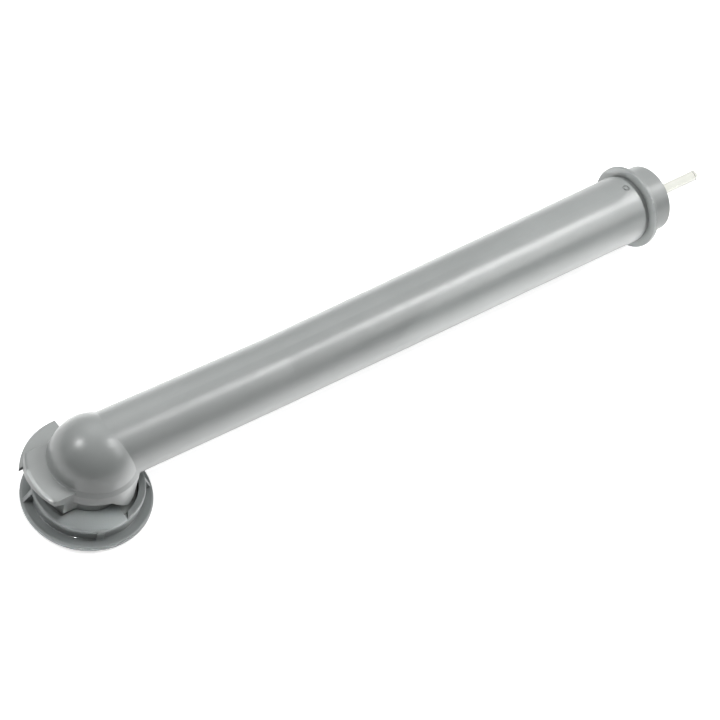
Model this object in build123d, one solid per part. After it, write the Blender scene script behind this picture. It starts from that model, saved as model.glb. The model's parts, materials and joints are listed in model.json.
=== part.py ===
from build123d import *
import math
import os

# Feed tube for a dishwasher's upper wash arm, with its bayonet ring and docking pin. Lengths in mm.
# It is built with X along the tube from the elbow's centre to the inlet and Z up the outlet's axis,
# then leaned to the attitude it takes when it lies on a flat floor.

os.makedirs("parts", exist_ok=True)

# Elbow
wall = 2.0
dome_r = 17.1
flare_top_z = 1.0
flare_foot_z = -1.2
skirt_r = 18.1
skirt_draft = 0.4
skirt_wall = 1.8
shoulder_z = -5.5
pipe_r = 12.6
pipe_end_z = -22.9

# Tube: a straight stretch that rises a little to the elbow, then a slight draft to the inlet
tube_elbow_r = 13.85
straight_len = 85.5
elbow_rise = 2.9
tube_inlet_r = 15.4
tube_end_x = 278.3
tube_edge = 0.5

# Inlet: groove, disc and spigot
groove_r = 14.4
groove_w = 2.3
disc_r = 18.78
disc_t = 1.7
disc_edge = 0.3
spigot_r = 15.0
spigot_len = 11.9
spigot_chamfer = 0.8
spigot_bore_r = 12.6
bore_step_back = 12.3

# Clear pin and the three-armed holder inside the inlet
pin_r = 2.35
pin_root_r = 1.9
pin_reach = 35.3
pin_chamfer = 0.5
pin_fit = 0.03
holder_r = 4.2
holder_floor = 2.0
holder_inset = 4.2
socket_len = 12.0
arm_t = 1.8

# Round mark on top of the tube beside the inlet
mark_back = 3.7
mark_r = 1.6
mark_core_r = 0.8
mark_depth = 0.45

# Side lug and the lower plate behind it
lug_r = 25.4
lug_round = 1.3
lug_front_y = -10.4
lug_step_y = 14.0
lug_root_x = -15.0
lug_root_t = 5.8
lug_back_t = 8.8
lug_slope_x = 0.42
lug_slope_y = 0.2
plate_r = 26.7
plate_top_z = -8.55
plate_t = 1.8
plate_end_x = 0.9

# Bayonet: tabs of the ring, entry gaps in the skirt, slots and ledges
tab_top_z = -16.25
tab_t = 1.3
tab_side_y = -7.8
tab_side_x = 3.5
tab_gap = 0.4
entry_side_gap = 0.4
entry_end_gap = 0.7
slant_lead = 3.2
slant_run = 10.1
rib_t = 1.8
ledge_t = 1.8
ledge_gap = 0.3
ring_travel = 70.0
stop_gap = 1.2
stop_width = 8.0

# Bayonet ring
ring_gap = 0.8
collar_wall = 2.3
top_overhang = 0.6
top_round = 0.6
top_flats = 2
rim_width = 4.3
rim_top_z = -22.8
rim_bottom_z = -25.2
rim_round = 1.0
rim_flats = 3
lip_r = 14.5
seat_gap = 0.3
notch_inner = (6.4, -16.6)
notch_tip = (3.6, -21.6)
gusset_t = 1.9
gusset_inset = 0.9
short_rib_w = 2.9
gusset_angle = 158.7
short_rib_angle = 250.0


def turned(profile, axis):
    return revolve(make_face(Polyline(*profile, close=True)), axis, 360)


def about_x(points):
    return turned([(x, 0, r) for x, r in points], Axis.X)


def about_z(points):
    return turned([(r, 0, z) for r, z in points], Axis.Z)


def prism(outline, low, high):
    face = make_face(Polyline(*[(x, y, low) for x, y in outline], close=True))
    return extrude(face, amount=high - low, dir=(0, 0, 1))


def ring_band(r_in, r_out, low, high):
    return about_z([(r_in, low), (r_out, low), (r_out, high), (r_in, high)])


def quarter(r, z, radius, start, flats):
    angles = [math.radians(start + 90 * k / flats) for k in range(flats + 1)]
    return [(r + radius * math.cos(a), z + radius * math.sin(a)) for a in angles]


def half_turn(shape):
    return Rot(0, 0, 180) * shape


def wedge(angle, width, r, low, high):
    a0 = math.radians(angle - width / 2)
    a1 = math.radians(angle + width / 2)
    corners = [(0, 0), (r * math.cos(a0), r * math.sin(a0)), (r * math.cos(a1), r * math.sin(a1))]
    return prism(corners, low, high)


far = 60.0
inner_r = dome_r - wall
flare_top_r = math.sqrt(dome_r**2 - flare_top_z**2)
disc_x = tube_end_x + groove_w
spigot_end_x = disc_x + disc_t + spigot_len
bore_step_x = tube_end_x - bore_step_back
holder_end_x = spigot_end_x - holder_inset
pin_foot_x = holder_end_x - socket_len
pin_tip_x = holder_end_x + pin_reach
mark_x = tube_end_x - mark_back
skirt_inner_r = skirt_r - skirt_wall
skirt_end_r = skirt_r - skirt_draft
pipe_bore_r = pipe_r - wall
floor_top_z = shoulder_z + wall
skirt_end_z = tab_top_z + tab_gap
ledge_top_z = tab_top_z - tab_t - tab_gap
entry_y = tab_side_y + entry_side_gap
entry_x = tab_side_x + entry_end_gap
slant_end_x = entry_x + slant_lead
slant_top_x = slant_end_x - slant_run
tab_inner_r = pipe_r + tab_gap
ring_bore_r = skirt_r + ring_gap
ledge_r = ring_bore_r - ledge_gap
collar_r = ring_bore_r + collar_wall
ring_top_r = collar_r + top_overhang
rim_r = collar_r + rim_width
gusset_r = rim_r - gusset_inset

# The tube's straight stretch meets the drafted part in a mitre
tilt = math.degrees(math.atan2(elbow_rise, straight_len))
stretch_len = math.hypot(elbow_rise, straight_len)
bend = Pos(straight_len, 0, 0)
before_bend = bend * Rot(0, tilt / 2, 0) * Pos(-stretch_len, 0, 0) * Box(2 * stretch_len, 2 * far, 2 * far)


def bent_bar(r, drafted):
    outline = [(straight_len - r, 0), (straight_len - r, r), (straight_len + wall, r), *drafted]
    stretch = bend * Rot(0, tilt, 0) * about_x([(-stretch_len, 0), (-stretch_len, r), (r, r), (r, 0)])
    return (stretch & before_bend) + (about_x(outline) - before_bend)


# Outside of tube, groove, disc and spigot
tube_outside = bent_bar(tube_elbow_r, [
    (tube_end_x - tube_edge, tube_inlet_r),
    (tube_end_x, tube_inlet_r - tube_edge),
    (tube_end_x, groove_r),
    (disc_x, groove_r),
    (disc_x, disc_r - disc_edge),
    (disc_x + disc_edge, disc_r),
    (disc_x + disc_t - disc_edge, disc_r),
    (disc_x + disc_t, disc_r - disc_edge),
    (disc_x + disc_t, spigot_r),
    (spigot_end_x - spigot_chamfer, spigot_r),
    (spigot_end_x, spigot_r - spigot_chamfer),
    (spigot_end_x, 0),
])

# Water way through the tube
tube_inside = bent_bar(tube_elbow_r - wall, [
    (bore_step_x, tube_inlet_r - wall),
    (bore_step_x + wall, spigot_bore_r),
    (far + spigot_end_x, spigot_bore_r),
    (far + spigot_end_x, 0),
])

# Elbow: dome over a short flared shoulder
below_shoulder = Pos(0, 0, shoulder_z - far / 2) * Box(far, far, far)
dome = Sphere(dome_r) - below_shoulder
shoulder = about_z([
    (0, shoulder_z),
    (skirt_r, shoulder_z),
    (skirt_r, flare_foot_z),
    (flare_top_r, flare_top_z),
    (0, flare_top_z),
])
elbow_room = Sphere(inner_r) - Pos(0, 0, floor_top_z - far / 2) * Box(far, far, far)
outlet_room = ring_band(0, pipe_bore_r, pipe_end_z, 0)

# Outlet pipe, split skirt, ledges and the slots between them
pipe = ring_band(pipe_bore_r, pipe_r, pipe_end_z, floor_top_z)
skirt = about_z([
    (skirt_inner_r, skirt_end_z),
    (skirt_end_r, skirt_end_z),
    (skirt_r, shoulder_z),
    (skirt_inner_r, shoulder_z),
])
ledge = ring_band(pipe_r - wall / 2, ledge_r, ledge_top_z - ledge_t, ledge_top_z)
ledge += ring_band(skirt_inner_r, ledge_r, pipe_end_z, ledge_top_z)
entry_outline = [
    (-far, pipe_end_z),
    (entry_x, pipe_end_z),
    (entry_x, skirt_end_z),
    (slant_end_x, skirt_end_z),
    (slant_top_x, shoulder_z),
    (-far, shoulder_z),
]
entry_face = make_face(Polyline(*[(x, entry_y, z) for x, z in entry_outline], close=True))
entry = extrude(entry_face, amount=far, dir=(0, -1, 0))
split = skirt + ledge - entry - half_turn(entry)

rib_room = ring_band(pipe_r - wall / 2, skirt_end_r - skirt_draft, skirt_end_z, shoulder_z)
side_rib = prism([(-far, entry_y), (0, entry_y), (0, entry_y + rib_t), (-far, entry_y + rib_t)],
                 skirt_end_z, shoulder_z)
rib = side_rib & rib_room

# Stops that end the ring's turn, just clear of the tabs' leading sides
stop_edge = 180 - math.degrees(math.asin(tab_side_y / skirt_end_r)) - ring_travel - stop_gap
stop_room = ring_band(pipe_r - wall / 2, skirt_end_r, ledge_top_z, skirt_end_z)
stop = wedge(stop_edge - stop_width / 2, stop_width, far, ledge_top_z, skirt_end_z) & stop_room
outlet = pipe + split + rib + half_turn(rib) + stop + half_turn(stop)

# Side lug: flat top, rounded rim, underside rising towards its free end and its front corner
lug_plan = [(0, lug_front_y), (-far, lug_front_y), (-far, lug_step_y), (0, lug_step_y)]
lug_blank = Cylinder(lug_r, lug_back_t, align=(Align.CENTER, Align.CENTER, Align.MAX))
lug_blank = fillet(lug_blank.edges().group_by(Axis.Z)[-1], lug_round)
lug_under = Plane(origin=(lug_root_x, lug_front_y, -lug_root_t), z_dir=(lug_slope_x, lug_slope_y, 1))
under_cut = lug_under * Pos(0, 0, -far) * Box(4 * far, 4 * far, 2 * far)
lug = (prism(lug_plan, -lug_back_t, 0) & lug_blank) - under_cut
lug -= Cylinder(skirt_inner_r, far)

# Lower plate behind the lug, from the lug's step on
plate_plan = [(-far, lug_step_y), (plate_end_x, lug_step_y), (plate_end_x, far), (-far, far)]
plate = ring_band(skirt_r - skirt_wall / 2, plate_r, plate_top_z - plate_t, plate_top_z)
plate &= prism(plate_plan, plate_top_z - plate_t, plate_top_z)

# Holder for the pin, carried by three arms inside the inlet
holder_x = pin_foot_x - holder_floor
holder = about_x([(holder_x, 0), (holder_x, holder_r), (holder_end_x, holder_r), (holder_end_x, 0)])
arm_len = groove_r - wall / 2
for k in range(3):
    arm = Pos((holder_x + holder_end_x) / 2, 0, arm_len / 2) * Box(holder_end_x - holder_x, arm_t, arm_len)
    holder += Rot(120 * k, 0, 0) * arm
holder &= about_x([(0, 0), (0, arm_len), (far + spigot_end_x, arm_len), (far + spigot_end_x, 0)])
socket_r = pin_root_r + pin_fit
socket = about_x([(pin_foot_x, 0), (pin_foot_x, socket_r), (pin_tip_x, socket_r), (pin_tip_x, 0)])

# Round mark
mark_slope = (tube_inlet_r - tube_elbow_r) / (tube_end_x - tube_edge - straight_len)
mark_z = tube_elbow_r + mark_slope * (mark_x - straight_len)
mark = ring_band(mark_core_r, mark_r, mark_z - mark_depth, mark_z + wall)

feed_tube = tube_outside + dome + shoulder + outlet + lug + plate
feed_tube -= tube_inside + elbow_room + outlet_room
feed_tube = feed_tube + holder - socket - Pos(mark_x, 0, 0) * mark

# Clear pin, stepped where it enters the holder
pin = about_x([
    (pin_foot_x, 0),
    (pin_foot_x, pin_root_r),
    (holder_end_x, pin_root_r),
    (holder_end_x, pin_r),
    (pin_tip_x - pin_chamfer, pin_r),
    (pin_tip_x, pin_r - pin_chamfer),
    (pin_tip_x, 0),
])

# Bayonet ring: collar, rim and seat lip in one turned section, the rim's edges eased in short flats
lip_top_z = pipe_end_z - seat_gap
rim_mid_r = rim_r - rim_round
ring = about_z([
    (ring_bore_r, tab_top_z),
    *reversed(quarter(ring_top_r - top_round, tab_top_z - top_round, top_round, 0, top_flats)),
    (ring_top_r, tab_top_z - tab_t),
    (collar_r, tab_top_z - tab_t),
    (collar_r, rim_top_z),
    *reversed(quarter(rim_mid_r, rim_top_z - rim_round, rim_round, 0, rim_flats)),
    *reversed(quarter(rim_mid_r, rim_bottom_z + rim_round, rim_round, -90, rim_flats)),
    (lip_r, rim_bottom_z),
    (lip_r, lip_top_z),
    (ring_bore_r, lip_top_z),
])

# Tabs, each bounded by two straight sides, and the notch at the end of each
tab_plan = [(tab_side_x, tab_side_y), (-far, tab_side_y), (-far, -far), (tab_side_x, -far)]
tab = ring_band(tab_inner_r, (ring_bore_r + ring_top_r) / 2, tab_top_z - tab_t, tab_top_z)
tab &= prism(tab_plan, tab_top_z - tab_t, tab_top_z)
notch_plan = [(tab_side_x, -tab_inner_r), notch_inner, notch_tip, (tab_side_x, notch_tip[1])]
notch = prism(notch_plan, tab_top_z - tab_t, tab_top_z + tab_t)
ring = ring - notch - half_turn(notch)
ring += tab + half_turn(tab)

# Gussets and short ribs on the collar
gusset_face = make_face(Polyline(
    (collar_r - wall / 2, -gusset_t / 2, tab_top_z - tab_t),
    (ring_top_r, -gusset_t / 2, tab_top_z - tab_t),
    (gusset_r, -gusset_t / 2, rim_top_z),
    (gusset_r, -gusset_t / 2, rim_top_z - tab_t),
    (collar_r - wall / 2, -gusset_t / 2, rim_top_z - tab_t),
    close=True))
gusset = extrude(gusset_face, amount=gusset_t, dir=(0, 1, 0))
short_rib = Pos((collar_r - wall / 2 + ring_top_r) / 2, 0, (tab_top_z - tab_t + rim_top_z) / 2) * Box(
    ring_top_r - collar_r + wall / 2, short_rib_w, tab_top_z - tab_t - rim_top_z)
for turn in (0, 180):
    ring += Rot(0, 0, gusset_angle + turn) * gusset
    ring += Rot(0, 0, short_rib_angle + turn) * short_rib

# Attitude at rest: on the ring's rim and on the inlet disc
foot_x = rim_mid_r
heel_x = disc_x + disc_t - disc_edge
lean = math.atan2(-rim_bottom_z - disc_r, heel_x - foot_x)
lift = foot_x * math.sin(lean) - rim_bottom_z * math.cos(lean)
rest = Pos(0, 0, lift) * Rot(0, math.degrees(lean), 0)

pieces = {"feed_tube": rest * feed_tube, "docking_pin": rest * pin, "bayonet_ring": rest * ring}
middle = Compound(list(pieces.values())).bounding_box().center()
for name, shape in pieces.items():
    export_step(Pos(-middle.X, -middle.Y, 0) * shape, os.path.join("parts", name + ".step"))
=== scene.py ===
import json
import math

import bpy
from mathutils import Matrix, Vector

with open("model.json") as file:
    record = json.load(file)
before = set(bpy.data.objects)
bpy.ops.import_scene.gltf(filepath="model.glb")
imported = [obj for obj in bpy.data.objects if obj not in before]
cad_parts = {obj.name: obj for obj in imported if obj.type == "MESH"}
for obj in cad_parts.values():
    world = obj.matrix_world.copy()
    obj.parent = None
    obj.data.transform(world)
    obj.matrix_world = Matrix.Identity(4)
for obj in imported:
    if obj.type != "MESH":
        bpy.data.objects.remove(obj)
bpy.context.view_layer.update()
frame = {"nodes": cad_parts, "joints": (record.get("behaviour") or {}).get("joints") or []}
scene = bpy.context.scene
nodes = frame["nodes"]

# Axes of the elbow in the row frame, read from the ring's joint
joint = frame["joints"][0]
up = Vector(joint["axis"]).normalized()
across = Vector((0.0, 1.0, 0.0))
along = across.cross(up).normalized()
MM = 0.001
JOINT_TO_ELBOW = 20.0
elbow = Vector(joint["pos_m"]) + up * JOINT_TO_ELBOW * MM


def in_row(x, y, z):
    """A point in millimetres from the elbow: along the tube, across it, up the outlet's axis."""
    return elbow + (along * x + across * y + up * z) * MM


def direction(x, y, z):
    return (along * x + across * y + up * z).normalized()


def compass(azimuth, elevation):
    """A direction in degrees round the outlet's axis from the tube, and up from level."""
    a, e = math.radians(azimuth), math.radians(elevation)
    return direction(math.cos(e) * math.cos(a), math.cos(e) * math.sin(a), math.sin(e))


# Camera, in degrees, with the elbow's centre in millimetres to the right, down and ahead

CAMERA_AZIMUTH = -51.461
CAMERA_ELEVATION = 49.021
CAMERA_ROLL = -17.858
ELBOW_IN_VIEW = (-99.393, 36.338, 744.9)
SENSOR_WIDTH = 36.0
FOCAL_LENGTH = 100.0


def add_camera():
    a, e, r = (math.radians(v) for v in (CAMERA_AZIMUTH, CAMERA_ELEVATION, CAMERA_ROLL))
    forward = direction(-math.sin(a) * math.cos(e), math.cos(a) * math.cos(e), -math.sin(e))
    level = direction(math.cos(a), math.sin(a), 0.0)
    fall = forward.cross(level)
    right = level * math.cos(r) + fall * math.sin(r)
    down = fall * math.cos(r) - level * math.sin(r)
    data = bpy.data.cameras.new("camera")
    data.sensor_width = SENSOR_WIDTH
    data.lens = FOCAL_LENGTH
    data.dof.use_dof = False
    data.clip_start, data.clip_end = 0.01, 20.0
    cam = bpy.data.objects.new("camera", data)
    scene.collection.objects.link(cam)
    x, y, z = (v * MM for v in ELBOW_IN_VIEW)
    place = elbow - right * x - down * y - forward * z
    turn = Matrix((right, -down, -forward)).transposed().to_4x4()
    cam.matrix_world = Matrix.Translation(place) @ turn
    scene.camera = cam


add_camera()


# Materials

EDGE_ROUND = 0.35 * MM
CREVICE_REACH = 5.0 * MM
PLASTIC_IOR = 1.49


def new_material(name):
    mat = bpy.data.materials.new(name)
    mat.use_nodes = True
    tree = mat.node_tree
    tree.nodes.clear()
    out = tree.nodes.new("ShaderNodeOutputMaterial")
    shader = tree.nodes.new("ShaderNodeBsdfPrincipled")
    tree.links.new(shader.outputs["BSDF"], out.inputs["Surface"])
    return mat, tree, shader


def noise(tree, scale, detail=2.0, roughness=0.5):
    coords = tree.nodes.get("coords")
    if coords is None:
        coords = tree.nodes.new("ShaderNodeTexCoord")
        coords.name = "coords"
    tex = tree.nodes.new("ShaderNodeTexNoise")
    tex.inputs["Scale"].default_value = scale
    tex.inputs["Detail"].default_value = detail
    tex.inputs["Roughness"].default_value = roughness
    tree.links.new(coords.outputs["Object"], tex.inputs["Vector"])
    return tex.outputs["Fac"]


def spread(tree, value, low, high, from_low=0.35, from_high=0.65):
    node = tree.nodes.new("ShaderNodeMapRange")
    node.inputs["From Min"].default_value = from_low
    node.inputs["From Max"].default_value = from_high
    node.inputs["To Min"].default_value = low
    node.inputs["To Max"].default_value = high
    tree.links.new(value, node.inputs["Value"])
    return node.outputs["Result"]


def mix_colour(tree, factor, first, second):
    node = tree.nodes.new("ShaderNodeMix")
    node.data_type = "RGBA"
    tree.links.new(factor, node.inputs["Factor"])
    for socket, value in ((node.inputs["A"], first), (node.inputs["B"], second)):
        if hasattr(value, "links"):
            tree.links.new(value, socket)
        else:
            socket.default_value = (*value, 1.0)
    return node.outputs["Result"]


def math_node(tree, operation, first, second):
    node = tree.nodes.new("ShaderNodeMath")
    node.operation = operation
    for socket, value in zip(node.inputs, (first, second)):
        if hasattr(value, "links"):
            tree.links.new(value, socket)
        else:
            socket.default_value = value
    return node.outputs["Value"]


def rounded_edges(tree, radius):
    """A normal that rounds sharp edges, and a mask that is 1 on those edges."""
    bevel = tree.nodes.new("ShaderNodeBevel")
    bevel.samples = 6
    bevel.inputs["Radius"].default_value = radius
    flat = tree.nodes.new("ShaderNodeNewGeometry")
    dot = tree.nodes.new("ShaderNodeVectorMath")
    dot.operation = "DOT_PRODUCT"
    tree.links.new(bevel.outputs["Normal"], dot.inputs[0])
    tree.links.new(flat.outputs["Normal"], dot.inputs[1])
    mask = spread(tree, dot.outputs["Value"], 1.0, 0.0, 0.80, 0.985)
    return bevel.outputs["Normal"], mask


def crevices(tree, reach):
    """1 in the open, falling to 0 in narrow gaps, where the colour gets painted shade."""
    node = tree.nodes.new("ShaderNodeAmbientOcclusion")
    node.samples = 8
    node.inputs["Distance"].default_value = reach
    return node.outputs["AO"]


def plastic(name, dark, light, rough):
    """Clouded grey, with a painted highlight on sharp edges and painted shade in crevices."""
    mat, tree, shader = new_material(name)
    cloud = spread(tree, noise(tree, 45.0, 3.0), 0.0, 1.0)
    body = mix_colour(tree, cloud, dark, light)
    normal, edge = rounded_edges(tree, EDGE_ROUND)
    # Painted highlight: sharp edges are made paler, as where their rounding catches the light.
    edge_highlight = [min(1.0, c * 1.6) for c in light]
    body_with_highlight = mix_colour(tree, math_node(tree, "MULTIPLY", edge, 0.6), body, edge_highlight)
    # Painted shade: the colour darkens towards near-black in gaps, grooves and corners where shade
    # falls.
    open_part = spread(tree, crevices(tree, CREVICE_REACH), 0.0, 1.0, 0.15, 0.75)
    painted_crevice_shade = [c * 0.35 for c in dark]
    tree.links.new(mix_colour(tree, open_part, painted_crevice_shade, body_with_highlight), shader.inputs["Base Color"])
    uneven = spread(tree, noise(tree, 300.0, 3.0), rough - 0.03, rough + 0.03)
    tree.links.new(uneven, shader.inputs["Roughness"])
    shader.inputs["IOR"].default_value = PLASTIC_IOR
    shader.inputs["Specular IOR Level"].default_value = 1.0
    tree.links.new(normal, shader.inputs["Normal"])
    return mat


tube_grey = plastic("tube_grey", (0.362, 0.382, 0.377), (0.385, 0.405, 0.400), 0.33)
ring_grey = plastic("ring_grey", (0.290, 0.312, 0.312), (0.310, 0.332, 0.332), 0.34)


def clear(name, dark, light):
    """See-through and faintly tinted, with an uneven polish."""
    mat, tree, shader = new_material(name)
    shader.inputs["Transmission Weight"].default_value = 1.0
    shader.inputs["IOR"].default_value = PLASTIC_IOR
    cloud = spread(tree, noise(tree, 120.0, 2.0), 0.0, 1.0)
    tree.links.new(mix_colour(tree, cloud, dark, light), shader.inputs["Base Color"])
    uneven = spread(tree, noise(tree, 500.0, 2.0), 0.06, 0.12)
    tree.links.new(uneven, shader.inputs["Roughness"])
    return mat


clear_rod = clear("clear_rod", (0.90, 0.91, 0.83), (0.93, 0.94, 0.87))


def dress(obj, mat):
    obj.data.materials.clear()
    obj.data.materials.append(mat)


dress(nodes["feed_tube"], tube_grey)
dress(nodes["bayonet_ring"], ring_grey)
dress(nodes["docking_pin"], clear_rod)


# Floor and light

FLOOR_HALF_SIDE = 6.0
FLOOR_GLOW = 0.7
CARD_HEIGHT = 0.4 * MM


def add_floor():
    """White where it is seen, mirrored or looked at through the rod, grey in its own light."""
    mesh = bpy.data.meshes.new("floor")
    s = FLOOR_HALF_SIDE
    mesh.from_pydata([(-s, -s, 0), (s, -s, 0), (s, s, 0), (-s, s, 0)], [], [(0, 1, 2, 3)])
    floor = bpy.data.objects.new("floor", mesh)
    scene.collection.objects.link(floor)
    mat, tree, shader = new_material("floor_white")
    path = tree.nodes.new("ShaderNodeLightPath")
    through = path.outputs["Is Transmission Ray"]
    straight = math_node(tree, "MAXIMUM", path.outputs["Is Camera Ray"], path.outputs["Is Glossy Ray"])
    shown = math_node(tree, "MULTIPLY", straight, math_node(tree, "SUBTRACT", 1.0, through))
    shade = spread(tree, noise(tree, 3.0, 2.0), 0.0, 1.0)
    dim = mix_colour(tree, shade, (0.21, 0.21, 0.21), (0.23, 0.23, 0.23))
    white = mix_colour(tree, shade, (0.93, 0.93, 0.93), (0.95, 0.95, 0.95))
    seen = mix_colour(tree, shown, dim, white)
    tree.links.new(mix_colour(tree, through, seen, (0.0, 0.0, 0.0)), shader.inputs["Base Color"])
    glow = math_node(tree, "ADD", math_node(tree, "MULTIPLY", shown, FLOOR_GLOW), through)
    shader.inputs["Emission Color"].default_value = (1.0, 1.0, 1.0, 1.0)
    tree.links.new(glow, shader.inputs["Emission Strength"])
    shader.inputs["Roughness"].default_value = 0.9
    shader.inputs["Specular IOR Level"].default_value = 0.0
    floor.data.materials.append(mat)


add_floor()


def add_lamp(name, place, towards, size, power, side=along):
    """An area lamp that shines against `towards`, its first side as near to `side` as it can be."""
    data = bpy.data.lights.new(name, "AREA")
    data.shape = "RECTANGLE"
    data.size, data.size_y = size
    data.energy = power
    lamp = bpy.data.objects.new(name, data)
    scene.collection.objects.link(lamp)
    lamp.location = place
    x = (side - towards * side.dot(towards)).normalized()
    lamp.rotation_mode = "QUATERNION"
    lamp.rotation_quaternion = Matrix((x, towards.cross(x), towards)).transposed().to_quaternion()
    return lamp


def softbox(name, towards, distance, size, level, aim):
    """A lamp that gives `level` of irradiance on a face turned to it at `aim`."""
    power = level * math.pi * distance ** 2
    add_lamp(name, aim + towards * distance, towards, size, power)


def card(name, x0, x1, y0, y1, level):
    """A glowing card that lies on the floor and shines up, with sides in millimetres from the elbow."""
    middle = in_row((x0 + x1) / 2, (y0 + y1) / 2, 0.0)
    place = Vector((middle.x, middle.y, CARD_HEIGHT))
    size = ((x1 - x0) * MM, (y1 - y0) * MM)
    power = level * math.pi * size[0] * size[1]
    add_lamp(name, place, Vector((0.0, 0.0, -1.0)), size, power)


def beam(name, aim, towards, side, size, level, distance=0.15, angle=2.0):
    """A narrow beam that lights a small patch round `aim` and little else."""
    power = level * size[0] * size[1]
    lamp = add_lamp(name, aim + towards * distance, towards, size, power, side)
    lamp.data.spread = math.radians(angle)


# Two lamps that show as spots on the ball
ball = in_row(0.0, 0.0, 0.0)
softbox("spot_left", direction(-0.47, 0.42, 0.78), 3.0, (0.50, 0.50), 0.78, ball)
softbox("spot_right", direction(0.60, -0.19, 0.78), 3.0, (0.72, 0.72), 0.66, ball)

# Soft lamps along the tube, each aimed at a point on its axis
front, middle, side, back = (in_row(x, 0.0, 0.0) for x in (130.0, 108.0, 290.0, 150.0))
softbox("front_box", compass(-35.0, 40.0), 0.8, (0.22, 0.50), 0.64, front)
softbox("middle_box", compass(-80.0, 20.0), 0.12, (0.06, 0.06), 0.08, middle)
softbox("side_box", compass(10.0, 35.0), 0.6, (0.30, 0.30), 0.06, side)

# Bright floor on both sides of the tube
card("front_card", 12.0, 300.0, -90.0, -18.0, 1.0)
card("back_card", 0.0, 300.0, 25.0, 130.0, 0.7)
softbox("back_box", compass(70.0, 55.0), 0.9, (0.60, 0.60), 0.35, back)

# The elbow keeps the lamps from the ring's near tab and the wall beside it
tab, tab_chord = in_row(-7.0, -15.7, -16.2), direction(0.86, -0.52, 0.0)
wall = in_row(-13.0, -7.4, -13.0)
beam("tab_beam", tab, direction(-0.40, -0.66, 0.64), tab_chord, (0.025, 0.0042), 3.7)
beam("wall_beam", wall, direction(0.10, -0.85, 0.50), along, (0.007, 0.005), 1.2)

# In place of light from the white floor on the near side of the ring and the lug
CLOSE = {"distance": 0.05, "angle": 1.0}
near = compass(-135.0, 2.0)
rim_edge = in_row(0.0, 0.0, -24.2) + near * 0.028
collar_wall = in_row(0.0, 0.0, -18.8) + near * 0.024
lug_edge = in_row(-24.8, -1.0, -0.3)
beam("rim_beam", rim_edge, near, near.cross(up), (0.048, 0.0018), 1.8, **CLOSE)
beam("collar_beam", collar_wall, near, near.cross(up), (0.042, 0.0026), 1.2, **CLOSE)
beam("lug_beam", lug_edge, compass(-172.0, 4.0), across, (0.016, 0.0014), 3.0, **CLOSE)

# The tube keeps the lamps from the near face of the inlet disc
disc = in_row(282.0, 0.0, 0.0)
beam("disc_beam", disc, direction(-0.95, -0.25, 0.17), across, (0.046, 0.046), 1.4)


def add_world():
    """A room that is bright behind and to the right of the part and dim on the near side."""
    world = bpy.data.worlds.new("studio")
    scene.world = world
    world.use_nodes = True
    tree = world.node_tree
    background = tree.nodes["Background"]
    coords = tree.nodes.new("ShaderNodeTexCoord")
    dot = tree.nodes.new("ShaderNodeVectorMath")
    dot.operation = "DOT_PRODUCT"
    tree.links.new(coords.outputs["Generated"], dot.inputs[0])
    dot.inputs[1].default_value = compass(60.0, 50.0)
    facing = math_node(tree, "MAXIMUM", dot.outputs["Value"], 0.0)
    level = math_node(tree, "ADD", math_node(tree, "MULTIPLY", facing, 0.48), 0.09)
    background.inputs["Color"].default_value = (1.0, 1.0, 1.0, 1.0)
    tree.links.new(level, background.inputs["Strength"])


add_world()

scene.view_settings.view_transform = "Standard"
